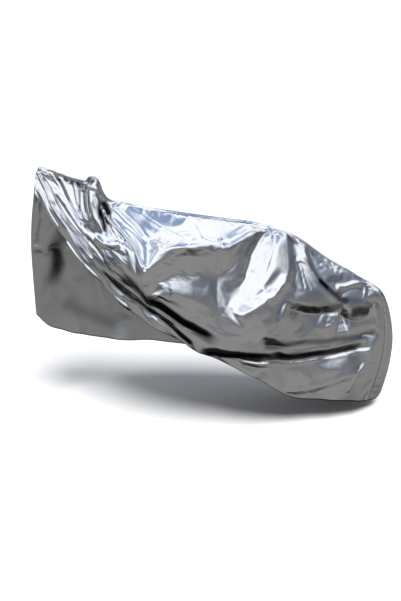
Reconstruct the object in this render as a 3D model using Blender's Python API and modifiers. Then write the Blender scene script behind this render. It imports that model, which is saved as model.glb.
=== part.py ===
"""A silver film cover as it hangs over a bicycle: two side panels, welded along the top and down the back.

X runs from the front wheel to the rear wheel, Y to the bicycle's right and Z up. The origin is under
the cover's top, over the saddle. The left panel's front is pulled up on the handlebar, so its hem
runs slantwise; the right panel hangs to its full height and goes round the rear wheel to the weld.
"""
from collections import namedtuple

import bmesh
import bpy
import numpy as np

MM = 0.001

# Driving sizes, in metres
SADDLE_HEIGHT = 0.886  # the origin's height above the floor
SHEET = 0.002  # wall of each panel
WELD_GAP = 0.0008  # between the two edges that make the weld
FLANGE = 0.008  # how far the welded edges stand out
WELD_HOLD = 0.05  # share of a panel beside the weld over which folds die out
FLAT_LENGTH = 2.0  # of a panel laid out flat
FLAT_HEIGHT = 1.0
NORMAL_STEP = 0.004  # share of a panel between the points that give its normal
FOLD_PIECES = 16  # straight pieces that stand for a fold's line when distances to it are taken

# Quads along and down each panel. Both have as many along, so that their welded edges match.
LEFT_GRID = (64, 32)
RIGHT_GRID = (64, 20)

# The weld along the top. Along is the share of a panel's length, and heights are above the floor.
# Lengths in these tables are millimetres.
TOP_COLUMNS = ("along", "x", "y", "height")
TOP_WELD = (
    (0.000, -904, 85, 1118),
    (0.052, -840, 70, 1105),
    (0.113, -760, 45, 1080),
    (0.165, -700, 15, 1074),
    (0.177, -684, 9, 1089),
    (0.194, -664, 2, 1091),
    (0.202, -655, 0, 1080),
    (0.211, -645, 1, 1044),
    (0.227, -625, 5, 1006),
    (0.269, -570, 20, 988),
    (0.346, -468, 30, 960),
    (0.442, -320, 30, 934),
    (0.546, -160, 20, 912),
    (0.649, 0, 0, 892),
    (0.749, 150, 0, 840),
    (0.848, 300, 0, 736),
    (0.950, 450, 0, 646),
    (1.000, 520, -15, 587),
)

# Each rib runs from the top weld down to the hem; the last one is the weld down the back. The edge
# is where the top turns into the side. The flank, belly and skirt follow at quarters of the drop from
# it to the hem. A bow sets the middle of a rib back.
RIB_COLUMNS = (
    "along", "foot_x", "bow", "edge_y", "edge_height", "flank_y", "belly_y", "skirt_y", "hem_y", "hem_height",
)
LEFT_RIBS = (
    (0.000, -922, 0, 80, 1098, 73, 66, 58, 50, 1023),
    (0.052, -850, 0, 60, 1060, 45, 30, 15, 15, 900),
    (0.113, -765, 0, 20, 1010, 5, -15, -35, -45, 795),
    (0.165, -700, 0, -20, 985, -45, -65, -85, -85, 735),
    (0.202, -655, 0, -60, 950, -80, -100, -115, -105, 690),
    (0.227, -625, 0, -90, 900, -110, -125, -132, -124, 652),
    (0.269, -570, 0, -130, 870, -150, -160, -158, -150, 598),
    (0.311, -515, 0, -175, 835, -190, -195, -188, -174, 566),
    (0.346, -468, 0, -220, 770, -225, -222, -210, -194, 536),
    (0.384, -410, 0, -205, 835, -215, -232, -224, -206, 501),
    (0.442, -320, 0, -210, 858, -210, -238, -240, -222, 450),
    (0.546, -160, 0, -150, 843, -165, -225, -243, -232, 364),
    (0.649, 0, 0, -60, 882, -140, -225, -242, -230, 273),
    (0.749, 150, 0, -50, 800, -138, -160, -176, -170, 166),
    (0.848, 300, 0, -40, 710, -112, -134, -150, -147, 128),
    (0.950, 450, 20, -30, 610, -76, -98, -112, -110, 93),
    (1.000, 517, 60, -21, 540, -36, -50, -65, -80, 70),
)
RIGHT_RIBS = (
    (0.000, -976, 4, 90, 980, 92, 90, 85, 80, 480),
    (0.015, -944, 0, 94, 1000, 97, 98, 96, 92, 430),
    (0.052, -870, 0, 100, 1035, 110, 120, 125, 120, 380),
    (0.113, -780, 0, 90, 1030, 125, 145, 160, 155, 340),
    (0.165, -700, 0, 80, 1010, 130, 160, 170, 170, 315),
    (0.227, -625, 0, 78, 960, 145, 175, 188, 182, 294),
    (0.346, -468, 0, 90, 920, 160, 200, 210, 195, 277),
    (0.442, -320, 0, 90, 890, 160, 210, 220, 200, 252),
    (0.546, -160, 0, 80, 870, 150, 200, 220, 200, 215),
    (0.649, 0, 0, 65, 875, 140, 190, 210, 190, 170),
    (0.749, 150, 0, 50, 800, 120, 170, 190, 170, 130),
    (0.840, 320, 0, 45, 700, 100, 150, 170, 150, 85),
    (0.890, 440, 0, 40, 650, 90, 130, 148, 128, 60),
    (0.930, 560, 10, 32, 610, 62, 88, 98, 88, 62),
    (0.965, 620, 25, 10, 580, 18, 24, 26, 24, 78),
    (0.985, 584, 42, -10, 560, -20, -30, -36, -36, 52),
    (1.000, 517, 60, -21, 540, -36, -50, -65, -80, 70),
)
RIB_LEVELS = (0.0, 0.2, 0.4, 0.6, 0.8, 1.0)  # shares of the way down at top, edge, flank, belly, skirt, hem
FOOT_EASE = 3  # how soon a rib swings from its top's x to its foot's

# Each fold runs through five places, given as shares along and down its panel. Its widths above and
# below that line (behind and before a line that runs down), its depth (out is plus) and the lengths
# over which its ends die out are millimetres.
Fold = namedtuple("Fold", "places above below depth start end")
LEFT_FOLDS = {
    "upper_sling": Fold(
        ((0.254, 0.623), (0.326, 0.671), (0.387, 0.753), (0.457, 0.818), (0.534, 0.848)),
        28, 40, -16, 40, 50,
    ),
    "lower_sling": Fold(
        ((0.200, 0.800), (0.277, 0.805), (0.347, 0.752), (0.401, 0.861), (0.462, 0.955)),
        16, 22, -12, 40, 15,
    ),
    "front_valley": Fold(
        ((0.046, 0.560), (0.085, 0.606), (0.121, 0.664), (0.154, 0.732), (0.186, 0.800)),
        16, 14, -12, 30, 40,
    ),
    "wheel_tuck": Fold(
        ((0.474, 0.983), (0.605, 0.911), (0.729, 0.803), (0.856, 0.708), (0.974, 0.575)),
        34, 60, -24, 40, 40,
    ),
    "rear_tuck": Fold(
        ((0.648, 0.785), (0.738, 0.713), (0.828, 0.647), (0.913, 0.557), (0.988, 0.435)),
        30, 30, -14, 60, 10,
    ),
    "fan_left": Fold(
        ((0.688, 0.040), (0.667, 0.165), (0.643, 0.285), (0.606, 0.392), (0.590, 0.520)),
        34, 22, -16, 20, 50,
    ),
    "fan_right": Fold(
        ((0.722, 0.028), (0.728, 0.148), (0.738, 0.266), (0.721, 0.380), (0.694, 0.487)),
        30, 60, 14, 25, 25,
    ),
    "fan_foot": Fold(
        ((0.736, 0.343), (0.709, 0.438), (0.672, 0.518), (0.625, 0.576), (0.578, 0.633)),
        40, 24, 11, 20, 20,
    ),
    "saddle_streak": Fold(
        ((0.758, 0.120), (0.784, 0.201), (0.821, 0.263), (0.865, 0.300), (0.910, 0.335)),
        18, 24, 9, 15, 25,
    ),
    "rack_lens": Fold(
        ((0.702, 0.510), (0.756, 0.494), (0.808, 0.464), (0.859, 0.421), (0.904, 0.360)),
        26, 22, -18, 25, 20,
    ),
    "rear_leaf": Fold(
        ((0.894, 0.408), (0.919, 0.413), (0.943, 0.405), (0.962, 0.375), (0.970, 0.328)),
        26, 18, -14, 12, 8,
    ),
    "bar_crest": Fold(
        ((0.226, 0.022), (0.269, 0.067), (0.316, 0.085), (0.362, 0.110), (0.394, 0.182)),
        26, 22, 8, 15, 20,
    ),
    "v_left": Fold(
        ((0.222, 0.100), (0.252, 0.124), (0.280, 0.160), (0.310, 0.185), (0.342, 0.190)),
        18, 18, 8, 10, 10,
    ),
    "brow": Fold(
        ((0.352, 0.200), (0.424, 0.203), (0.496, 0.203), (0.568, 0.207), (0.640, 0.215)),
        26, 18, 8, 10, 10,
    ),
    "cup_brim": Fold(
        ((0.190, 0.485), (0.214, 0.423), (0.229, 0.348), (0.250, 0.278), (0.274, 0.212)),
        20, 18, 10, 8, 8,
    ),
    "stem_tuft": Fold(
        ((0.184, 0.000), (0.184, 0.104), (0.188, 0.208), (0.191, 0.311), (0.194, 0.415)),
        18, 18, 15, 8, 70,
    ),
    "stem_pocket": Fold(
        ((0.210, 0.028), (0.225, 0.072), (0.228, 0.129), (0.228, 0.187), (0.228, 0.245)),
        14, 18, -17, 10, 15,
    ),
    "belly_step": Fold(
        ((0.408, 0.550), (0.443, 0.556), (0.477, 0.570), (0.508, 0.605), (0.536, 0.647)),
        60, 30, 7, 10, 20,
    ),
}
RIGHT_FOLDS = {
    "front_pleat": Fold(
        ((0.05, 0.12), (0.065, 0.32), (0.075, 0.52), (0.08, 0.72), (0.08, 0.92)),
        28, 28, -20, 120, 120,
    ),
    "grip_pleat": Fold(
        ((0.13, 0.08), (0.14, 0.30), (0.15, 0.50), (0.16, 0.70), (0.17, 0.90)),
        30, 30, 18, 120, 120,
    ),
    "stem_pleat": Fold(
        ((0.20, 0.10), (0.22, 0.30), (0.25, 0.50), (0.28, 0.70), (0.30, 0.90)),
        28, 28, -20, 120, 120,
    ),
    "bar_swag": Fold(
        ((0.24, 0.14), (0.30, 0.34), (0.37, 0.50), (0.45, 0.62), (0.54, 0.68)),
        40, 24, -22, 120, 120,
    ),
    "saddle_pleat": Fold(
        ((0.62, 0.06), (0.60, 0.22), (0.57, 0.36), (0.54, 0.46), (0.51, 0.53)),
        34, 34, 15, 80, 120,
    ),
    "seat_trough": Fold(
        ((0.68, 0.04), (0.71, 0.20), (0.75, 0.33), (0.80, 0.42), (0.85, 0.46)),
        26, 20, -20, 80, 100,
    ),
    "wheel_tuck": Fold(
        ((0.58, 0.86), (0.66, 0.80), (0.75, 0.73), (0.84, 0.67), (0.92, 0.62)),
        38, 24, -28, 120, 80,
    ),
}

# The left panel's rows of quads follow its main fold: the row at GATHER_ROW of the way down lies on
# this line, given as shares along and down.
GATHER_ROW = 0.75
GATHER_LINE = (
    (0.00, 0.45),
    (0.09, 0.62),
    (0.16, 0.70),
    (0.24, 0.66),
    (0.30, 0.61),
    (0.37, 0.66),
    (0.46, 0.745),
    (0.55, 0.83),
    (0.62, 0.85),
    (0.70, 0.79),
    (0.81, 0.70),
    (1.00, 0.52),
)


def smooth(knots, values, at):
    """A cubic through values (one row for each knot) that doesn't swing past them.
    A value row is one number, or one number for each point of at."""
    knots = np.asarray(knots, float)
    values = np.asarray(values, float)
    if values.ndim == 1:
        values = np.repeat(values[:, None], len(at), axis=1)
    step = np.diff(knots)[:, None]
    rise = np.diff(values, axis=0) / step
    before, after = rise[:-1], rise[1:]
    mean = (before * step[1:] + after * step[:-1]) / (step[1:] + step[:-1])
    limit = 3 * np.minimum(abs(before), abs(after))
    inner = np.where(before * after > 0, np.sign(mean) * np.minimum(abs(mean), limit), 0)
    slope = np.concatenate([rise[:1], inner, rise[-1:]])
    k = np.clip(np.searchsorted(knots, at, side="right") - 1, 0, len(knots) - 2)
    point = np.arange(len(at))
    width = step[k, 0]
    u = (at - knots[k]) / width
    start, end = values[k, point], values[k + 1, point]
    return (
        (1 + 2 * u) * (1 - u) ** 2 * start
        + u * (1 - u) ** 2 * width * slope[k, point]
        + u**2 * (3 - 2 * u) * end
        - u**2 * (1 - u) * width * slope[k + 1, point]
    )


def ease(share):
    """0 below 0, 1 above 1 and a soft step between."""
    share = np.clip(share, 0, 1)
    return share**2 * (3 - 2 * share)


def read_table(columns, rows, along):
    """Each column of a table, run smoothly through its rows and read at shares along a panel."""
    table = dict(zip(columns, np.array(rows, float).T))
    knots = table.pop("along")
    return {name: smooth(knots, column * MM, along) for name, column in table.items()}


def plain_panel(ribs, along, down):
    """Points of a panel without folds, at shares along it and down it."""
    top = read_table(TOP_COLUMNS, TOP_WELD, along)
    rib = read_table(RIB_COLUMNS, ribs, along)
    drop = rib["edge_height"] - rib["hem_height"]
    sides = [top["y"], rib["edge_y"], rib["flank_y"], rib["belly_y"], rib["skirt_y"], rib["hem_y"]]
    heights = [top["height"]] + [rib["edge_height"] - share * drop for share in (0, 0.25, 0.5, 0.75, 1)]
    swing = 1 - (1 - down) ** FOOT_EASE
    x = top["x"] + (rib["foot_x"] - top["x"]) * swing + rib["bow"] * np.sin(np.pi * down)
    y = smooth(RIB_LEVELS, np.stack(sides), down)
    z = smooth(RIB_LEVELS, np.stack(heights), down) - SADDLE_HEIGHT
    return np.stack([x, y, z], axis=1)


def outward(ribs, along, down, side):
    """Outward normals of the plain panel; side is -1 for the left panel and 1 for the right."""
    half = NORMAL_STEP / 2
    ahead, behind = np.minimum(along + half, 1), np.maximum(along - half, 0)
    lower, upper = np.minimum(down + half, 1), np.maximum(down - half, 0)
    rearward = plain_panel(ribs, ahead, down) - plain_panel(ribs, behind, down)
    downward = plain_panel(ribs, along, lower) - plain_panel(ribs, along, upper)
    normal = side * np.cross(rearward, downward)
    return normal / np.linalg.norm(normal, axis=1, keepdims=True)


def fold_height(points, along, down, ribs, fold):
    """How far one fold moves each point: a smooth trough or crest beside the fold's line."""
    knots = np.linspace(0, 1, len(fold.places))
    steps = np.linspace(0, 1, FOLD_PIECES + 1)
    line_along, line_down = (smooth(knots, shares, steps) for shares in np.array(fold.places).T)
    line = plain_panel(ribs, line_along, line_down)
    nearest = np.full(len(points), np.inf)
    run = np.zeros(len(points))
    turned = np.zeros(len(points))
    length = 0.0
    for k in range(len(line) - 1):
        piece = line[k + 1] - line[k]
        piece_length = np.linalg.norm(piece)
        share = np.clip((points - line[k]) @ piece / piece_length**2, 0, 1)
        distance = np.linalg.norm(points - line[k] - share[:, None] * piece, axis=1)
        closer = distance < nearest
        nearest[closer] = distance[closer]
        run[closer] = (length + share * piece_length)[closer]
        step_along = (line_along[k + 1] - line_along[k]) * FLAT_LENGTH
        step_down = (line_down[k + 1] - line_down[k]) * FLAT_HEIGHT
        turn = step_along * (down - line_down[k]) * FLAT_HEIGHT - step_down * (along - line_along[k]) * FLAT_LENGTH
        turned[closer] = turn[closer]
        length += piece_length
    width = np.where(turned > 0, fold.below, fold.above) * MM
    ends = ease(run / (fold.start * MM)) * ease((length - run) / (fold.end * MM))
    return fold.depth * MM * ends * np.exp(-((nearest / width) ** 2))


def weld_directions(along, down):
    """At points of the weld: the way its flange stands out, and the way to the right panel."""
    half = NORMAL_STEP / 2
    before = plain_panel(LEFT_RIBS, along - np.where(down > 0, 0, half), np.maximum(down - half, 0))
    after = plain_panel(LEFT_RIBS, np.minimum(along + half, 1), down + np.where(along < 1, 0, half))
    run = after - before
    run /= np.linalg.norm(run, axis=1, keepdims=True)
    inner_along, inner_down = np.minimum(along, 1 - WELD_HOLD), np.maximum(down, WELD_HOLD)
    out = outward(LEFT_RIBS, inner_along, inner_down, -1) + outward(RIGHT_RIBS, inner_along, inner_down, 1)
    out -= run * (out * run).sum(axis=1, keepdims=True)
    out /= np.linalg.norm(out, axis=1, keepdims=True)
    return out, np.cross(out, run)


def draped_panel(ribs, folds, along, down, side):
    """Points of a panel with its folds, set beside the weld's middle plane."""
    points = plain_panel(ribs, along, down)
    height = sum(fold_height(points, along, down, ribs, fold) for fold in folds.values())
    held = ease(down / WELD_HOLD) * ease((1 - along) / WELD_HOLD)
    points = points + outward(ribs, along, down, side) * (height * held)[:, None]
    weld_down = np.where(along < 1, 0, down)
    right = weld_directions(along, weld_down)[1]
    return points + side * (SHEET + WELD_GAP / 2) * right


def weld_flange(bm, chain, out):
    """Turns the welded edges out by FLANGE, in the plane of the weld."""
    edges = [bm.edges.get(pair) for pair in zip(chain[:-1], chain[1:])]
    bmesh.ops.extrude_edge_only(bm, edges=edges)
    for vert, direction in zip(chain, out):
        tip = next(edge.other_vert(vert) for edge in vert.link_edges if edge.calc_length() < 1e-7)
        tip.co = np.array(vert.co) + FLANGE * direction


def gathered_rows(along, row):
    """Shares down the left panel of rows that follow its main fold."""
    knots, levels = np.array(GATHER_LINE).T
    level = smooth(knots, levels, along)
    above = row / GATHER_ROW * level
    below = 1 - (1 - row) / (1 - GATHER_ROW) * (1 - level)
    return np.where(row < GATHER_ROW, above, below)


def even_rows(along, row):
    """Shares down the right panel of evenly spread rows."""
    return row


def film(name, color, roughness):
    """Aluminised film: a metal skin on plastic sheet."""
    material = bpy.data.materials.new(name)
    material.use_nodes = True
    shader = material.node_tree.nodes["Principled BSDF"]
    shader.inputs["Base Color"].default_value = (*color, 1)
    shader.inputs["Metallic"].default_value = 0.9
    shader.inputs["Roughness"].default_value = roughness
    return material


def build_panel(name, ribs, folds, rows, grid, side, material, collection):
    """One side panel as a draped sheet, with its welded edges turned out and its wall inside."""
    bm = bmesh.new()
    bmesh.ops.create_grid(bm, x_segments=grid[0], y_segments=grid[1], size=1)
    bm.verts.ensure_lookup_table()
    flat = np.array([vert.co for vert in bm.verts])
    along = np.round((flat[:, 0] + 1) / 2 * grid[0]) / grid[0]
    down = rows(along, np.round((1 - flat[:, 1]) / 2 * grid[1]) / grid[1])
    for vert, place in zip(bm.verts, draped_panel(ribs, folds, along, down, side)):
        vert.co = place
    top = sorted((v for v in bm.verts if down[v.index] == 0), key=lambda v: along[v.index])
    back = sorted((v for v in bm.verts if along[v.index] == 1), key=lambda v: down[v.index])
    chain = top + back[1:]
    places = [vert.index for vert in chain]
    weld_flange(bm, chain, weld_directions(along[places], down[places])[0])
    if side > 0:
        bmesh.ops.reverse_faces(bm, faces=bm.faces)
    mesh = bpy.data.meshes.new(name)
    bm.to_mesh(mesh)
    bm.free()
    mesh.shade_smooth()
    mesh.materials.append(material)
    panel = bpy.data.objects.new(name, mesh)
    collection.objects.link(panel)
    wall = panel.modifiers.new("wall", "SOLIDIFY")
    wall.thickness = SHEET
    wall.offset = -1
    wall.use_even_offset = True
    return panel


for leftover in list(bpy.data.objects):
    bpy.data.objects.remove(leftover)
cover = bpy.data.collections.new("bicycle_cover")
bpy.context.scene.collection.children.link(cover)
silver = film("silver_film", (0.62, 0.63, 0.65), 0.28)
build_panel("left_panel", LEFT_RIBS, LEFT_FOLDS, gathered_rows, LEFT_GRID, -1, silver, cover)
build_panel("right_panel", RIGHT_RIBS, RIGHT_FOLDS, even_rows, RIGHT_GRID, 1, silver, cover)
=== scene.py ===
"""A silver film bicycle cover, as it hangs over a bicycle that isn't shown, in metres.

X runs from the front wheel to the rear wheel, Y to the bicycle's right and Z up, with the origin under
the cover's top, over the saddle.
"""

import bmesh
import bpy
import numpy as np
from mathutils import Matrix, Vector, noise


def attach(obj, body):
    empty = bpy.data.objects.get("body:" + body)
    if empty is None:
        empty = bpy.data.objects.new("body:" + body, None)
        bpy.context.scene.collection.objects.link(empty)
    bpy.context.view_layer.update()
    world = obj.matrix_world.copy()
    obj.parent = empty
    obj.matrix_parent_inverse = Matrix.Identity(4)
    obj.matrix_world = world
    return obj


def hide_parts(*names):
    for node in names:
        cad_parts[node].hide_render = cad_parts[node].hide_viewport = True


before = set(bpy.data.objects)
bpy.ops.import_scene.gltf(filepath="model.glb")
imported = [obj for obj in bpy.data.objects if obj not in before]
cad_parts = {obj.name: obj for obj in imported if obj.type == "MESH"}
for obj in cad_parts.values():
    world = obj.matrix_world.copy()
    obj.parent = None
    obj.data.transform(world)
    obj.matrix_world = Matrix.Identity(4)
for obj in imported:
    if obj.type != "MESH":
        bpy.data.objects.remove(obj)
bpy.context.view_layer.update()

# ---- Camera ----------------------------------------------------------------------------------------
# A camera at eye height beside the bicycle's left, a little behind the handlebar, looking down on the
# cover so that its top and its near side both show.
camera_data = bpy.data.cameras.new("camera")
camera_data.lens = 34.68
camera = bpy.data.objects.new("camera", camera_data)
camera.location = (-0.36, -2.35, 0.614)
camera.rotation_euler = np.radians((68.1, 0, -2.9))
bpy.context.scene.collection.objects.link(camera)
bpy.context.scene.camera = camera

# ---- Floor -----------------------------------------------------------------------------------------
# The ground that the bicycle stands on: a pale, matt studio floor, saddle height below the origin. It
# is kept out of the film's reflections, which see the studio's own grey instead.
FLOOR_HEIGHT = -0.886
floor_bm = bmesh.new()
bmesh.ops.create_circle(floor_bm, cap_ends=True, radius=30, segments=96)
bmesh.ops.translate(floor_bm, verts=floor_bm.verts, vec=(0, 0, FLOOR_HEIGHT))
floor_mesh = bpy.data.meshes.new("floor")
floor_bm.to_mesh(floor_mesh)
floor_bm.free()
floor = bpy.data.objects.new("floor", floor_mesh)
bpy.context.scene.collection.objects.link(floor)
floor_paint = bpy.data.materials.new("floor_paint")
floor_paint.use_nodes = True
floor_shader = floor_paint.node_tree.nodes["Principled BSDF"]
floor_shader.inputs["Base Color"].default_value = (0.62, 0.62, 0.62, 1)
floor_shader.inputs["Roughness"].default_value = 0.9
floor_shader.inputs["Specular IOR Level"].default_value = 0.1
floor_mesh.materials.append(floor_paint)
floor.visible_glossy = False

# ---- Studio light ----------------------------------------------------------------------------------
# Soft daylight in a bare studio: a bright white bank before the bicycle and above it, dull blue-grey
# behind the rear wheel, blue overhead and warm grey from the ground. The camera sees plain white, and
# the floor gets only a share of it, so that the sun draws a shadow.

# Light from beside the near panel, from ahead of the front wheel and from behind the rear wheel, as
# degrees above the horizon, red, green and blue.
NEAR_LIGHT = (
    (-90, 0.010, 0.010, 0.010),
    (-56, 0.012, 0.012, 0.012),
    (-49, 0.035, 0.035, 0.034),
    (-43, 0.130, 0.128, 0.124),
    (-36, 0.250, 0.244, 0.235),
    (-28, 0.295, 0.287, 0.276),
    (-10, 0.290, 0.284, 0.275),
    (-3, 0.235, 0.233, 0.230),
    (4, 0.175, 0.180, 0.195),
    (10, 0.190, 0.210, 0.250),
    (18, 0.480, 0.530, 0.600),
    (27, 1.150, 1.170, 1.200),
    (52, 1.150, 1.170, 1.200),
    (60, 0.850, 0.930, 1.050),
    (68, 0.450, 0.560, 0.770),
    (76, 0.290, 0.380, 0.570),
    (90, 0.290, 0.380, 0.570),
)
AHEAD_LIGHT = (
    (-90, 0.010, 0.010, 0.010),
    (-45, 0.012, 0.012, 0.012),
    (-39, 0.045, 0.045, 0.045),
    (-32, 0.190, 0.187, 0.182),
    (-26, 0.270, 0.265, 0.257),
    (-12, 0.275, 0.270, 0.264),
    (-3, 0.170, 0.170, 0.172),
    (4, 0.070, 0.080, 0.095),
    (10, 0.120, 0.140, 0.170),
    (18, 0.500, 0.550, 0.620),
    (27, 1.050, 1.080, 1.120),
    (52, 1.150, 1.170, 1.200),
    (60, 0.850, 0.930, 1.050),
    (68, 0.450, 0.560, 0.770),
    (90, 0.290, 0.380, 0.570),
)
BEHIND_LIGHT = (
    (-90, 0.010, 0.010, 0.010),
    (-56, 0.012, 0.012, 0.012),
    (-49, 0.035, 0.035, 0.034),
    (-43, 0.120, 0.118, 0.114),
    (-36, 0.220, 0.215, 0.208),
    (-28, 0.265, 0.258, 0.248),
    (-12, 0.250, 0.245, 0.235),
    (2, 0.185, 0.185, 0.185),
    (9, 0.140, 0.148, 0.165),
    (14, 0.085, 0.095, 0.120),
    (20, 0.170, 0.200, 0.240),
    (35, 0.260, 0.310, 0.380),
    (43, 0.950, 1.000, 1.080),
    (56, 0.950, 1.000, 1.080),
    (68, 0.450, 0.560, 0.770),
    (90, 0.290, 0.380, 0.570),
)
BRIGHTEST = 1.2
GROUND_SHARE = 0.5
# How far along X a direction points where the light ahead and the light behind begin and are full.
AHEAD_FROM, AHEAD_FULL = -0.25, -0.50
BEHIND_FROM, BEHIND_FULL = 0.50, 0.78
studio = bpy.data.worlds.new("studio")
bpy.context.scene.world = studio
studio.use_nodes = True
sky = studio.node_tree
sky.nodes.clear()
sky_ray = sky.nodes.new("ShaderNodeTexCoord")
sky_split = sky.nodes.new("ShaderNodeSeparateXYZ")
sky_angle = sky.nodes.new("ShaderNodeMath")
sky_angle.operation = "ARCSINE"
sky_share = sky.nodes.new("ShaderNodeMapRange")
sky_share.inputs["From Min"].default_value = -np.pi / 2
sky_share.inputs["From Max"].default_value = np.pi / 2
sky_behind = sky.nodes.new("ShaderNodeMapRange")
sky_behind.interpolation_type = "SMOOTHSTEP"
sky_behind.inputs["From Min"].default_value = BEHIND_FROM
sky_behind.inputs["From Max"].default_value = BEHIND_FULL
sky_blend = sky.nodes.new("ShaderNodeMix")
sky_blend.data_type = "RGBA"
sky_before = sky.nodes.new("ShaderNodeMapRange")
sky_before.interpolation_type = "SMOOTHSTEP"
sky_before.inputs["From Min"].default_value = AHEAD_FROM
sky_before.inputs["From Max"].default_value = AHEAD_FULL
sky_near = sky.nodes.new("ShaderNodeMix")
sky_near.data_type = "RGBA"
sky.links.new(sky_near.outputs[2], sky_blend.inputs[6])
sky.links.new(sky_ray.outputs["Generated"], sky_split.inputs[0])
sky.links.new(sky_split.outputs["Z"], sky_angle.inputs[0])
sky.links.new(sky_angle.outputs[0], sky_share.inputs["Value"])
sky.links.new(sky_split.outputs["X"], sky_behind.inputs["Value"])
sky.links.new(sky_behind.outputs[0], sky_blend.inputs["Factor"])
sky.links.new(sky_split.outputs["X"], sky_before.inputs["Value"])
sky.links.new(sky_before.outputs[0], sky_near.inputs["Factor"])
for light, socket in (
    (NEAR_LIGHT, sky_near.inputs[6]),
    (AHEAD_LIGHT, sky_near.inputs[7]),
    (BEHIND_LIGHT, sky_blend.inputs[7]),
):
    ramp = sky.nodes.new("ShaderNodeValToRGB")
    stops = ramp.color_ramp.elements
    while len(stops) < len(light):
        stops.new(0.5)
    for stop, (degrees, red, green, blue) in zip(stops, light):
        stop.position = (degrees + 90) / 180
        stop.color = (red / BRIGHTEST, green / BRIGHTEST, blue / BRIGHTEST, 1)
    sky.links.new(sky_share.outputs[0], ramp.inputs["Fac"])
    sky.links.new(ramp.outputs["Color"], socket)
sky_glow = sky.nodes.new("ShaderNodeBackground")
sky_white = sky.nodes.new("ShaderNodeBackground")
sky_white.inputs["Color"].default_value = (1, 1, 1, 1)
sky_seen = sky.nodes.new("ShaderNodeLightPath")
sky_faint = sky.nodes.new("ShaderNodeMapRange")
sky_faint.inputs["To Min"].default_value = BRIGHTEST
sky_faint.inputs["To Max"].default_value = BRIGHTEST * GROUND_SHARE
sky_mix = sky.nodes.new("ShaderNodeMixShader")
sky_out = sky.nodes.new("ShaderNodeOutputWorld")
sky.links.new(sky_blend.outputs[2], sky_glow.inputs["Color"])
sky.links.new(sky_seen.outputs["Is Diffuse Ray"], sky_faint.inputs["Value"])
sky.links.new(sky_faint.outputs[0], sky_glow.inputs["Strength"])
sky.links.new(sky_seen.outputs["Is Camera Ray"], sky_mix.inputs["Fac"])
sky.links.new(sky_glow.outputs[0], sky_mix.inputs[1])
sky.links.new(sky_white.outputs[0], sky_mix.inputs[2])
sky.links.new(sky_mix.outputs[0], sky_out.inputs["Surface"])
bpy.context.scene.view_settings.view_transform = "Standard"
overhead_data = bpy.data.lights.new("overhead", "SUN")
overhead_data.energy = 5.6
overhead_data.angle = np.radians(28)
overhead = bpy.data.objects.new("overhead", overhead_data)
overhead.rotation_euler = np.radians((24, 7, 0))
overhead.visible_glossy = False
bpy.context.scene.collection.objects.link(overhead)

# ---- Left panel ------------------------------------------------------------------------------------
# The near side of the cover: one sheet of aluminised film, cut to the bicycle's outline and welded to
# the other side along the top and down the back. Its front is pulled up on the handlebar, which
# gathers it into long slings that run down to the rear wheel.
MM = 0.001
SADDLE_HEIGHT = 0.886
FILM = 0.0010
WELD_GAP = 0.0004
FLANGE = 0.008
WELD_HOLD = 0.05
NORMAL_STEP = 0.004
FOLD_PIECES = 16
CREASE_ROUND = 0.12
SOFT_FROM = 1.4
TINY = 1e-9
EDGE_NEAR = 1e-6
NO_LENGTH = 1e-7
WOBBLE = (
    # millimetres, waves a metre
    (4.0, 3.0),
    (2.5, 7.0),
    (1.3, 17.0),
)
WOBBLE_SEED = 5
WOBBLE_WAVES = 3

TOP_COLUMNS = ("along", "x", "y", "height")
TOP_WELD = (
    (0.000, -904, 85, 1118),
    (0.052, -840, 70, 1105),
    (0.113, -760, 45, 1080),
    (0.165, -700, 15, 1074),
    (0.177, -684, 9, 1089),
    (0.194, -664, 2, 1091),
    (0.202, -655, 0, 1080),
    (0.211, -645, 1, 1044),
    (0.227, -625, 5, 1006),
    (0.269, -570, 20, 988),
    (0.346, -468, 30, 960),
    (0.442, -320, 30, 934),
    (0.546, -160, 20, 912),
    (0.649, 0, 0, 892),
    (0.749, 150, 0, 840),
    (0.848, 300, 0, 736),
    (0.950, 450, 0, 646),
    (1.000, 520, -15, 587),
)
RIB_COLUMNS = (
    "along", "foot_x", "bow", "edge_y", "edge_height",
    "flank_y", "belly_y", "skirt_y", "hem_y", "hem_height",
)
LEFT_RIBS = (
    (0.000, -922, 0, 80, 1098, 73, 66, 58, 50, 1023),
    (0.052, -850, 0, 60, 1060, 45, 30, 15, 15, 900),
    (0.113, -765, 0, 20, 1010, 5, -15, -35, -45, 795),
    (0.165, -700, 0, -20, 985, -45, -65, -85, -85, 735),
    (0.202, -655, 0, -60, 950, -80, -100, -115, -105, 690),
    (0.227, -625, 0, -90, 900, -110, -125, -132, -124, 652),
    (0.269, -570, 0, -130, 870, -150, -160, -158, -150, 598),
    (0.311, -515, 0, -175, 835, -190, -195, -188, -174, 566),
    (0.346, -468, 0, -220, 770, -225, -222, -210, -194, 536),
    (0.384, -410, 0, -205, 835, -215, -232, -224, -206, 501),
    (0.442, -320, 0, -210, 858, -210, -238, -240, -222, 450),
    (0.546, -160, 0, -150, 843, -171, -214, -239, -232, 364),
    (0.649, 0, 0, -60, 882, -140, -216, -232, -222, 273),
    (0.749, 150, 0, -50, 800, -138, -172, -188, -180, 166),
    (0.848, 300, 0, -40, 710, -112, -136, -152, -149, 128),
    (0.950, 450, 20, -30, 610, -76, -98, -112, -110, 93),
    (1.000, 517, 60, -21, 540, -36, -50, -65, -80, 70),
)
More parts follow.
